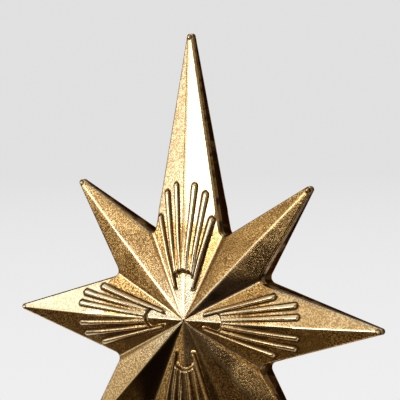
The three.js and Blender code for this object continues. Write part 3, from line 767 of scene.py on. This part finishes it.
def build_shell(name, sizes, ribs, back):
    """One pressed half of the star, closed: outer face, side with its lap joint, and inside."""
    arms = make_arms(sizes)
    sheet, gap, roll = sizes.sheet, sizes.joint_gap, sizes.lip_roll
    flange_out = sheet + gap
    flange_in = flange_out + sheet
    curl = roll * (1 - math.sqrt(0.5))
    outlines = {i: Outline(sizes, arms, i) for i in (0, curl, roll, sheet, flange_out, flange_in)}
    face = Face(sizes, ribs, outlines[0])
    builder = Builder()
    add_face(builder, face, sizes.back_columns if back else sizes.front_columns, back, FACET)
    for k in range(8):
        share = ring_share(outlines[0], k)
        seam = sizes.corner_seam + (-sizes.tip_seam - sizes.corner_seam) * share
        foot = gap - seam if back else seam
        edge = face_edge_height(face, k)
        add_wall(builder, outlines, k, [(0, edge), (0, (edge + foot + roll) / 2), (0, foot + roll)],
                 back, WALL if back else LIP)
        rim = [(0, foot + roll), (curl, foot + curl), (roll, foot)]
        inner = inset_edge_height(face, outlines[sheet], k)
        if back:
            under = [np.minimum(foot + sheet, inset_edge_height(face, outlines[i], k) - 0.15 * MM)
                     for i in (flange_in, sheet)]
            rim += [(flange_out, foot), (flange_out, foot - sizes.flange), (flange_in, foot - sizes.flange),
                    (flange_in, under[0]), (sheet, under[1]), (sheet, inner)]
        else:
            rim += [(sheet, foot), (sheet, inner)]
        add_wall(builder, outlines, k, rim, back, WALL if back else LIP)
    add_inner_face(builder, face, outlines[sheet], back, LIP)
    return builder.mesh(name)


def tube(builder, path, radius, sides):
    """A round tube along a path, with rounded ends."""
    path = np.asarray(path)
    before = np.roll(path, 1, 0)
    before[0] = path[0]
    after = np.roll(path, -1, 0)
    after[-1] = path[-1]
    ways = after - before
    ways /= np.linalg.norm(ways, axis=1)[:, None]
    across = np.array([1.0, 0, 0])
    angles = np.linspace(0, 2 * math.pi, sides + 1)
    rings = []
    for point, way in zip(path, ways):
        across = across - way * (across @ way)
        across /= np.linalg.norm(across)
        other = np.cross(way, across)
        rings.append(point + radius * (np.outer(np.cos(angles), across) + np.outer(np.sin(angles), other)))
    caps = []
    for end, sign in ((0, -1), (-1, 1)):
        cap = []
        for turn in np.radians([30, 60, 80, 90]):
            shrunk = path[end] + (rings[end] - path[end]) * math.cos(turn)
            cap.append(shrunk + ways[end] * sign * 0.35 * radius * math.sin(turn))
        caps.append(cap)
    grid = np.stack([*caps[0][::-1], *rings, *caps[1]])
    builder.add_grid(grid, flip=True)


def lathe(builder, profile, axis_point, axis, segments):
    """A turned piece from a profile of radius and height along the axis."""
    axis = np.array(axis, float)
    axis /= np.linalg.norm(axis)
    side = np.cross(axis, [1.0, 0.3, 0.2])
    side /= np.linalg.norm(side)
    other = np.cross(axis, side)
    turns = np.linspace(0, 2 * math.pi, segments + 1)
    round_way = np.outer(np.cos(turns), side) + np.outer(np.sin(turns), other)
    rows = [np.asarray(axis_point) + r * round_way + h * axis for r, h in profile]
    builder.add_grid(np.stack(rows), flip=True)


def ridge_height(sizes, along):
    """Height of the bottom arm's ridge."""
    end = sizes.upright_reach - sizes.nose_bulge * 1.5
    slope = (sizes.upright_break_height - sizes.tip_depth - 0.4 * MM) / (end - sizes.upright_break)
    return sizes.upright_break_height - slope * (along - sizes.upright_break)


WIRE_GAP = 0.3 * MM
LEAN = 1.05  # the stem leans, so its gap to the sheet is measured a little longer
FLAT_TURNS = 1  # the last turns, over which the wire comes to lie level


def wire_path(sizes, coil):
    """The wire's centre line in the star's own axes: right, up and towards the front."""
    radius = coil.wire / 2
    clear = (radius + WIRE_GAP) * LEAN

    def stem(along):
        return sizes.sheet - ridge_height(sizes, along) + clear

    reach, neck = sizes.upright_reach, coil.neck
    stem_points = [(0, -coil.stem_top, stem(coil.stem_top)), (0, -coil.stem_bend, stem(coil.stem_bend)),
                   (0, -reach, 0), (0, -reach - neck, 0)]
    turn = np.arange(1, coil.turns * coil.steps + 1) / coil.steps
    grow = smooth(0, 0.75, turn)
    ring_radius = grow * (coil.top_radius + (coil.bottom_radius - coil.top_radius) * turn / coil.turns)
    late = np.maximum(0, turn - (coil.turns - FLAT_TURNS))
    fallen = (turn - late ** 2 / (2 * FLAT_TURNS)) / (coil.turns - FLAT_TURNS / 2)
    angle = 2 * math.pi * turn
    down = reach + neck + coil.height * fallen
    turns = np.stack([ring_radius * np.cos(angle), -down, ring_radius * np.sin(angle)], 1)
    return np.concatenate([np.array(stem_points), turns])


def place_piece(name, mesh, material_list, slot, *nodes):
    """Puts a finished mesh in the scene in place of the nodes that it stands for."""
    piece = bpy.data.objects.new(name, mesh)
    bpy.context.scene.collection.objects.link(piece)
    for material in material_list:
        mesh.materials.append(material)
    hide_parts(*nodes)
    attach(piece, BODY)


class NodeTree:
    """The nodes of a material or of the world, filled step by step."""

    def __init__(self, owner):
        owner.use_nodes = True
        self.nodes, self.links = owner.node_tree.nodes, owner.node_tree.links

    def give(self, socket, value):
        """Sets an input to a number or a colour, or links it to another node's output."""
        if isinstance(value, bpy.types.NodeSocket):
            self.links.new(value, socket)
        elif socket.type == "RGBA":
            socket.default_value = (*value, 1)
        else:
            socket.default_value = value

    def add(self, kind, inputs, **settings):
        """A new node of a kind, with its settings and inputs."""
        node = self.nodes.new("ShaderNode" + kind)
        for key, value in settings.items():
            setattr(node, key, value)
        for key, value in inputs.items():
            self.give(node.inputs[key], value)
        return node

    def span(self, value, low, high, to_low=0.0, to_high=1.0, curve="SMOOTHSTEP"):
        """A map of a value's range onto another."""
        ends = {"From Min": low, "From Max": high, "To Min": to_low, "To Max": to_high}
        return self.add("MapRange", {**ends, "Value": value}, interpolation_type=curve).outputs["Result"]

    def mix(self, share, one, two, blend="MIX"):
        """A mix of two colours, each a colour or a socket, by a share that is a socket."""
        node = self.add("Mix", {}, data_type="RGBA", blend_type=blend)
        self.give(node.inputs["Factor"], share)
        for socket, value in zip([s for s in node.inputs if s.type == "RGBA"], (one, two)):
            self.give(socket, value)
        return next(s for s in node.outputs if s.type == "RGBA")

    def math(self, operation, one, two):
        return self.add("Math", {0: one, 1: two}, operation=operation).outputs["Value"]


class Finish(NodeTree):
    """A metal material."""

    def __init__(self, name, roughness):
        self.material = bpy.data.materials.new(name)
        super().__init__(self.material)
        self.surface = self.nodes["Principled BSDF"]
        self.set("Metallic", 1)
        self.set("Roughness", roughness)
        self.where = self.add("TexCoord", {}).outputs["Object"]

    def set(self, key, value):
        self.give(self.surface.inputs[key], value)

    def noise(self, scale, detail, stretch=None):
        where = self.where
        if stretch:
            where = self.add("Mapping", {"Vector": where, "Scale": stretch}).outputs["Vector"]
        return self.add("TexNoise", {"Vector": where, "Scale": scale, "Detail": detail}).outputs["Fac"]

    def field(self, name):
        return self.add("Attribute", {}, attribute_name=name).outputs["Fac"]

    def bump(self, height, strength, distance, under=None):
        node = self.add("Bump", {"Distance": distance, "Strength": strength, "Height": height})
        if under:
            self.give(node.inputs["Normal"], under)
        return node.outputs["Normal"]


# Scales of the noise in the satin gold, in cells per metre
FINE_GRAIN, DARK_GRAIN, BARE_GRAIN = 2000, 1250, 1350
STAINS, PATCHES = 75, 55


def satin_gold(finish):
    """Sandblasted gold facets, smoother on the ribs, patinated brown with painted shade where the pressing
    folds, painted light and shade on each facet by its tone, and painted highlights along ridges, crests and
    valleys.
    """
    f = Finish("satin_gold", finish.facet_roughness)
    patches = f.noise(PATCHES, 3)
    polish, crevice, tone = f.field("rib_polish"), f.field("crevice"), f.field("tone")
    # The pale facets get a painted highlight.
    plain_gold = f.mix(f.span(tone, -1, 0), finish.pale, finish.gold)
    grains = f.span(f.noise(DARK_GRAIN, 2), 0.46, 0.53, 0, 0.95)
    grainy = f.mix(f.math("MULTIPLY", grains, f.span(tone, -1, 0, 0.3, 1)), plain_gold, finish.grain_shade)
    spots = f.math("MULTIPLY", f.span(f.noise(STAINS, 5), 0.45, 0.68, 0, 0.75), f.span(tone, -1, 0))
    stained = f.mix(spots, grainy, finish.stain)
    bare_grains = f.span(f.noise(BARE_GRAIN, 2), 0.5, 0.58, 0, 0.5)
    # The facets of positive tone get painted brown shade with lighter grains, and the darkest go to the
    # darkest brown.
    bare = f.math("MULTIPLY", bare_grains, f.span(tone, 0.7, 1.3, 1, 0.15))
    shade_share = f.math("MULTIPLY", f.span(tone, 0, 1, 0, 0.95), f.math("SUBTRACT", 1, bare))
    shade_brown = f.mix(shade_share, stained, finish.shade_brown)
    deep = f.mix(f.span(tone, 0.85, 1.1, 0, 0.96), shade_brown, finish.patina_and_shade)
    # Rubbed metal with a painted highlight, weaker on the shaded facets.
    rub_and_highlight = f.math("MULTIPLY", polish, f.span(tone, -0.3, 0.2, 0.75, 0.42))
    worn_and_highlight = f.mix(rub_and_highlight, deep, finish.worn_and_highlight)
    # The brown lines: patinated brown with painted shade, and painted shade beside them.
    flanked = f.mix(f.span(crevice, 0.05, 0.5), worn_and_highlight, finish.flank, "MULTIPLY")
    f.set("Base Color", f.mix(f.span(crevice, 0.45, 1, 0, 0.96), flanked, finish.patina_and_shade))
    satin = f.span(patches, 0.35, 0.65, finish.facet_roughness - 0.04, finish.facet_roughness + 0.05)
    smoother = f.math("MULTIPLY", polish, finish.facet_roughness - finish.rib_roughness)
    dull = f.math("MULTIPLY", crevice, 0.4)
    f.set("Roughness", f.math("ADD", f.math("SUBTRACT", satin, smoother), dull))
    f.set("Coat Weight", 0.1)
    f.set("Coat Roughness", 0.22)
    strength = f.span(polish, 0, 1, finish.grain, finish.grain * 0.35)
    grained = f.bump(f.noise(FINE_GRAIN, 2), strength, 0.065 * MM, f.bump(patches, 0.15, 0.6 * MM))
    f.set("Normal", grained)
    f.set("Coat Normal", grained)
    return f.material


def lip_gold(finish):
    """The front shell's smoother turned-down lip."""
    f = Finish("lip_gold", 0.25)
    streak = f.noise(260, 3, (1, 0.25, 1))
    f.set("Base Color", f.mix(f.span(streak, 0.4, 0.65), finish.lip, finish.patina_and_shade))
    f.set("Roughness", f.span(streak, 0.3, 0.7, 0.2, 0.36))
    f.set("Normal", f.bump(f.noise(1500, 2), 0.25, 0.05 * MM))
    return f.material


def wall_brown(finish):
    """The back shell's dark, glossy side wall with brown streaks."""
    f = Finish("wall_brown", 0.14)
    streak = f.noise(120, 4, (1, 0.3, 1))
    f.set("Base Color", f.mix(f.span(streak, 0.5, 0.68), finish.patina_and_shade, finish.wall))
    f.set("Roughness", f.span(streak, 0.3, 0.7, 0.1, 0.24))
    f.set("Normal", f.bump(f.noise(140, 2), 0.35, 0.3 * MM))
    f.set("Specular Tint", (0.5, 0.42, 0.34))
    return f.material


def smooth_metal(name, tone, dark, roughness):
    """Smooth metal with a faint drawn texture and darker patches."""
    f = Finish(name, roughness)
    patches = f.noise(180, 4)
    f.set("Base Color", f.mix(f.span(patches, 0.5, 0.72, 0, 0.6), tone, dark))
    f.set("Roughness", f.span(patches, 0.3, 0.7, roughness, roughness + 0.14))
    f.set("Normal", f.bump(f.noise(2400, 2), 0.2, 0.04 * MM))
    return f.material


def star_materials(finish):
    """The shells' three finishes, made once and shared."""
    made = [bpy.data.materials.get(n) for n in ("satin_gold", "lip_gold", "wall_brown")]
    return made if all(made) else [satin_gold(finish), lip_gold(finish), wall_brown(finish)]


def make_shell(scene, name, back):
    """Makes one pressed half of the star and puts it in place of its node."""
    mesh = build_shell(f"{name}_face", scene.star_sizes, scene.star_ribs, back)
    place_piece(f"star_{name}", mesh, star_materials(scene.star_finish), "gold_sheet", f"{name}_shell")


class STAR_OT_front_shell(bpy.types.Operator):
    """Makes the pressed front shell"""
    bl_idname = "star.front_shell"
    bl_label = "Front shell"

    def execute(self, context):
        make_shell(context.scene, "front", back=False)
        return {"FINISHED"}


class STAR_OT_back_shell(bpy.types.Operator):
    """Makes the pressed back shell with its side wall"""
    bl_idname = "star.back_shell"
    bl_label = "Back shell"

    def execute(self, context):
        make_shell(context.scene, "back", back=True)
        return {"FINISHED"}


class STAR_OT_tree_coil(bpy.types.Operator):
    """Makes the wire coil and its stem"""
    bl_idname = "star.tree_coil"
    bl_label = "Tree coil"

    def execute(self, context):
        scene = context.scene
        coil = scene.star_coil
        line = wire_path(scene.star_sizes, coil)
        builder = Builder()
        tube(builder, in_frame(line[:, 0] + 1j * line[:, 1], line[:, 2]), coil.wire / 2, coil.sides)
        finish = scene.star_finish
        metal = smooth_metal("wire_gold", finish.wire, finish.lip, 0.22)
        place_piece("star_coil", builder.mesh("coil_wire"), [metal], "coil_wire", "tree_coil")
        return {"FINISHED"}


COLLAR_ROUNDING = 0.35 * MM
RIVET_GAP = 0.6 * MM  # in all, between sheet, strap and inner head


class STAR_OT_stem_collar(bpy.types.Operator):
    """Makes the collar under the bottom nose"""
    bl_idname = "star.stem_collar"
    bl_label = "Stem collar"

    def execute(self, context):
        scene = context.scene
        low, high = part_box("stem_collar")
        coil = scene.star_coil
        inner = coil.wire / 2 + WIRE_GAP
        outer = inner + coil.collar_wall
        turn = COLLAR_ROUNDING
        corner = [(outer - turn + turn * math.sin(a), turn - turn * math.cos(a))
                  for a in np.radians([0, 30, 60, 90])]
        height = high.z - low.z
        top_corner = [(r, height - h) for r, h in reversed(corner)]
        profile = [(inner, 0), *corner, *top_corner, (inner, height), (inner, 0)]
        builder = Builder()
        lathe(builder, profile, (0, 0, low.z), (0, 0, 1), 48)
        finish = scene.star_finish
        metal = smooth_metal("collar_brass", finish.brass, finish.lip, 0.25)
        place_piece("star_collar", builder.mesh("collar"), [metal], "collar_metal", "stem_collar")
        return {"FINISHED"}


class STAR_OT_stem_straps(bpy.types.Operator):
    """Dresses the two straps inside the star"""
    bl_idname = "star.stem_straps"
    bl_label = "Stem straps"

    def execute(self, context):
        finish = context.scene.star_finish
        metal = smooth_metal("strap_brass", finish.brass, finish.patina_and_shade, 0.4)
        for node in ("upper_stem_strap", "lower_stem_strap"):
            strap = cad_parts[node]
            strap.data.materials.clear()
            strap.data.materials.append(metal)
        return {"FINISHED"}


class STAR_OT_strap_rivets(bpy.types.Operator):
    """Makes the four domed rivets"""
    bl_idname = "star.strap_rivets"
    bl_label = "Strap rivets"

    def execute(self, context):
        scene = context.scene
        sizes, rivets, finish = scene.star_sizes, scene.star_rivets, scene.star_finish
        face = Face(sizes, scene.star_ribs, Outline(sizes, make_arms(sizes)))
        _, (base, along_slope, across_slope), _ = face.planes[BOTTOM_ARM, 1]
        metal = smooth_metal("rivet_brass", finish.brass, finish.lip, 0.28)
        places = [(a, s) for a in (rivets.upper, rivets.lower) for s in (-1, 1)]
        for i, (along, side) in enumerate(places):
            height = base + along_slope * along + across_slope * rivets.across
            outwards = np.array([-across_slope * side, along_slope, -1])
            outwards /= np.linalg.norm(outwards)
            way = np.array([outwards[0], -outwards[2], outwards[1]])
            foot = in_frame(np.array(side * rivets.across - 1j * along), np.array(-height))
            under = -(sizes.sheet + rivets.strap + RIVET_GAP)
            dome = [(rivets.head * math.cos(a), rivets.rise * math.sin(a))
                    for a in np.linspace(0, math.pi / 2, 9)]
            profile = [(0, under - rivets.rise), *[(r, under - h) for r, h in reversed(dome[:-1])],
                       (rivets.shank, under), (rivets.shank, 0), *dome]
            builder = Builder()
            lathe(builder, profile, foot, way, 32)
            place_piece(f"star_rivet_{i + 1}", builder.mesh("rivet"), [metal], "rivet_metal",
                        f"strap_rivet_{i + 1}")
        return {"FINISHED"}


CAMERA_PLACE = Vector((0.52305, -0.83001, 0.34022))
CAMERA_WAY = Vector((-0.52881, 0.84547, -0.07443))
CAMERA_UP = Vector((-0.03129, 0.06822, 0.99718))
CAMERA_LENS = 184.45


def add_camera():
    data = bpy.data.cameras.new("camera")
    data.lens, data.sensor_width, data.sensor_fit = CAMERA_LENS, 36, "HORIZONTAL"
    data.clip_start, data.clip_end = 0.01, 100
    camera = bpy.data.objects.new("camera", data)
    right = CAMERA_WAY.cross(CAMERA_UP).normalized()
    up = right.cross(CAMERA_WAY).normalized()
    turn = Matrix((right, up, -CAMERA_WAY)).transposed().to_4x4()
    camera.matrix_world = Matrix.Translation(CAMERA_PLACE) @ turn
    bpy.context.scene.collection.objects.link(camera)
    bpy.context.scene.camera = camera


def towards(azimuth, elevation, distance):
    """A point seen from the star's centre at an azimuth from the front (right positive) and elevation."""
    a, e = math.radians(azimuth), math.radians(elevation)
    way = Vector((math.sin(a) * math.cos(e), -math.cos(a) * math.cos(e), math.sin(e)))
    return Vector((0, 0, STAR_CENTRE)) + way * distance


def add_softbox(name, place, size, brightness):
    """An area light aimed at the star, with its brightness as radiance."""
    width, height = size
    data = bpy.data.lights.new(name, "AREA")
    data.shape, data.size, data.size_y = "RECTANGLE", width, height
    data.energy = brightness * math.pi * width * height
    light = bpy.data.objects.new(name, data)
    light.location = place
    light.rotation_euler = (Vector((0, 0, STAR_CENTRE)) - place).to_track_quat("-Z", "Z").to_euler()
    light.visible_camera = False
    bpy.context.scene.collection.objects.link(light)


MATT_FLOOR = (0.3, 0.8)  # the floor turns from matt to plain background over these distances
FAR_FLOOR = (0.8, 4.5)   # and the background from its near to its far colour over these


def floor_material(look):
    """The floor's finish: matt under the star, and the plain background further out."""
    made = bpy.data.materials.new("pale_floor")
    tree = NodeTree(made)
    tree.nodes.clear()
    place = tree.add("NewGeometry", {}).outputs["Position"]
    distance = tree.add("VectorMath", {0: place}, operation="LENGTH").outputs["Value"]
    far = tree.span(distance, *FAR_FLOOR, curve="LINEAR")
    glow = tree.add("Emission", {"Color": tree.mix(far, look.near_floor, look.background)})
    matt = tree.add("BsdfDiffuse", {"Color": look.floor})
    shaders = {1: matt.outputs[0], 2: glow.outputs[0]}
    blend = tree.add("MixShader", {"Fac": tree.span(distance, *MATT_FLOOR), **shaders})
    tree.add("OutputMaterial", {"Surface": blend.outputs[0]})
    return made


def add_plate(name, corners, material):
    """A flat plate of the stage."""
    mesh = bpy.data.meshes.new(name)
    mesh.from_pydata([tuple(c) for c in corners], [], [tuple(range(len(corners)))])
    mesh.materials.append(material)
    plate = bpy.data.objects.new(name, mesh)
    bpy.context.scene.collection.objects.link(plate)
    return plate


def add_card(name, corners, shade):
    """A plain coloured card that only metal sees."""
    material = bpy.data.materials.new(name)
    tree = NodeTree(material)
    tree.nodes.clear()
    glow = tree.add("Emission", {"Color": shade})
    tree.add("OutputMaterial", {"Surface": glow.outputs[0]})
    card = add_plate(name, corners, material)
    card.visible_camera = card.visible_diffuse = card.visible_shadow = False


def low_corners(azimuths, distances):
    """The outline of a level card just over the floor."""
    turns = [math.radians(a) for a in np.linspace(*azimuths, CARD_STEPS)]
    near, far = ([Vector((math.sin(a), -math.cos(a), 0)) * reach for a in turns] for reach in distances)
    return [point + Vector((0, 0, CARD_LIFT)) for point in [*near, *reversed(far)]]


def upright_corners(azimuths, elevations, distance):
    (a0, a1), (e0, e1) = azimuths, elevations
    return [towards(a, e, distance) for a, e in ((a0, e0), (a1, e0), (a1, e1), (a0, e1))]


def set_world(look):
    """The background for camera and metal, and plain white light for what is matt."""
    world = bpy.data.worlds.new("pale_room")
    bpy.context.scene.world = world
    tree = NodeTree(world)
    tree.nodes.clear()
    pale = tree.add("Background", {"Color": look.background})
    soft = tree.add("Background", {"Color": (1, 1, 1), "Strength": look.ambient})
    rays = tree.add("LightPath", {})
    seen = rays.outputs["Is Camera Ray"]
    for kind in ("Is Glossy Ray", "Is Transmission Ray"):
        seen = tree.math("MAXIMUM", seen, rays.outputs[kind])
    blend = tree.add("MixShader", {"Fac": seen, 1: soft.outputs[0], 2: pale.outputs[0]})
    tree.add("OutputWorld", {"Surface": blend.outputs[0]})


FLOOR_REACH = 30
FLOOR_GAP = 0.2 * MM
CARD_LIFT = 2 * MM
CARD_STEPS = 13

# Level cards over the floor: name, azimuths, distances in metres and colour
LOW_CARDS = (
    ("near_flag", (-82, 40), (0.06, 0.41), "near_flag"),
    ("left_low_flag", (-82, -33), (0.41, 1.4), "left_flag"),
    ("far_low_flag", (-82, -33), (1.4, 2.9), "far_flag"),
    ("right_low_flag", (-33, 40), (0.41, 3.0), "right_flag"),
    ("back_low_flag", (62, 128), (0.06, 1.6), "right_flag"),
)

# Upright cards round the star: name, azimuths, elevations, distance in metres and colour
UPRIGHT_CARDS = (
    ("low_skirt", (-24, 16), (-20, -1), 1.1, "right_flag"),
    ("near_card", (-64, -43), (-16.5, -8), 0.5, "near_card"),
    ("middle_card", (-45, -32.2), (-3, 9.5), 1.5, "middle_card"),
    ("inner_card", (-32.2, -17), (3, 9.5), 1.5, "inner_card"),
    ("upper_card", (-34.2, -17), (9.5, 14), 1.5, "upper_card"),
    ("outer_card", (-45, -24), (14, 26), 1.5, "outer_card"),
    ("high_card", (-24, 0), (17, 45), 1.5, "upper_card"),
    ("side_card", (14, 70), (-30, 50), 1.6, "side_card"),
    ("far_side_card", (70, 128), (-30, 50), 1.6, "side_card"),
    ("right_back_flag", (128, 178), (-38, 38), 0.6, "back_flag"),
    ("left_back_flag", (-178, -132), (-38, 38), 0.6, "back_flag"),
    ("left_flag", (-125, -84), (-15, 50), 1.0, "black_card"),
)

# Soft lights: name, azimuth with elevation and distance, width with height, and level
LAMPS = (
    ("key", (-58, 27, 1.2), (0.55, 0.4), "key"),
    ("low_key", (-52.5, 2, 2.8), (0.66, 0.54), "low_key"),
    ("side_key", (-37.6, 11.5, 1.5), (0.18, 0.11), "low_band"),
    ("inner_strip", (-15.5, 0.8, 1.0), (0.13, 0.06), "low_band"),
    ("rib_light", (-28, 25.5, 1.5), (0.42, 0.09), "strip"),
    ("valley", (-41.3, 2, 1.44), (0.12, 0.34), "valley"),
    ("low_band", (-28, 0.3, 1.35), (0.72, 0.045), "low_band"),
    ("strip", (-6, 8.2, 1.0), (0.4, 0.3), "strip"),
)


class STAR_OT_stage(bpy.types.Operator):
    """Makes the floor, the lights, the cards and the camera"""
    bl_idname = "star.stage"
    bl_label = "Stage"

    def execute(self, context):
        look = context.scene.star_stage
        context.scene.view_settings.view_transform = "Standard"
        add_camera()
        set_world(look)
        ends = ((-1, -1), (1, -1), (1, 1), (-1, 1))
        corners = [(x * FLOOR_REACH, y * FLOOR_REACH, WIRE_LOW.z - FLOOR_GAP) for x, y in ends]
        add_plate("floor", corners, floor_material(look))
        for name, azimuths, distances, shade in LOW_CARDS:
            add_card(name, low_corners(azimuths, distances), getattr(look, shade))
        for name, azimuths, elevations, distance, shade in UPRIGHT_CARDS:
            add_card(name, upright_corners(azimuths, elevations, distance), getattr(look, shade))
        for name, place, size, lamp_level in LAMPS:
            add_softbox(name, towards(*place), size, getattr(look, lamp_level))
        return {"FINISHED"}


PROPERTY_GROUPS = {
    "star_sizes": StarSizes,
    "star_ribs": RibSizes,
    "star_coil": CoilSizes,
    "star_rivets": RivetSizes,
    "star_finish": StarFinish,
    "star_stage": StageLook,
}
OPERATORS = (STAR_OT_stage, STAR_OT_front_shell, STAR_OT_back_shell, STAR_OT_tree_coil,
             STAR_OT_stem_collar, STAR_OT_stem_straps, STAR_OT_strap_rivets)


class STAR_PT_pieces(bpy.types.Panel):
    """Lists the star's pieces and their sizes"""
    bl_idname = "STAR_PT_pieces"
    bl_label = "Metal star"
    bl_space_type = "VIEW_3D"
    bl_region_type = "UI"
    bl_category = "Star"

    def draw(self, context):
        for operator in OPERATORS:
            self.layout.operator(operator.bl_idname)
        for name, group in PROPERTY_GROUPS.items():
            box = self.layout.box()
            box.label(text=group.__doc__)
            settings = getattr(context.scene, name)
            for key in group.__annotations__:
                box.prop(settings, key)


def register():
    for group in PROPERTY_GROUPS.values():
        bpy.utils.register_class(group)
    for name, group in PROPERTY_GROUPS.items():
        setattr(bpy.types.Scene, name, PointerProperty(type=group))
    for cls in (*OPERATORS, STAR_PT_pieces):
        bpy.utils.register_class(cls)


def unregister():
    for cls in (STAR_PT_pieces, *reversed(OPERATORS)):
        bpy.utils.unregister_class(cls)
    for name, group in PROPERTY_GROUPS.items():
        delattr(bpy.types.Scene, name)
        bpy.utils.unregister_class(group)


def main():
    register()
    bpy.ops.star.stage()
    bpy.ops.star.front_shell()
    bpy.ops.star.back_shell()
    bpy.ops.star.tree_coil()
    bpy.ops.star.stem_collar()
    bpy.ops.star.stem_straps()
    bpy.ops.star.strap_rivets()


if __name__ == "__main__":
    main()
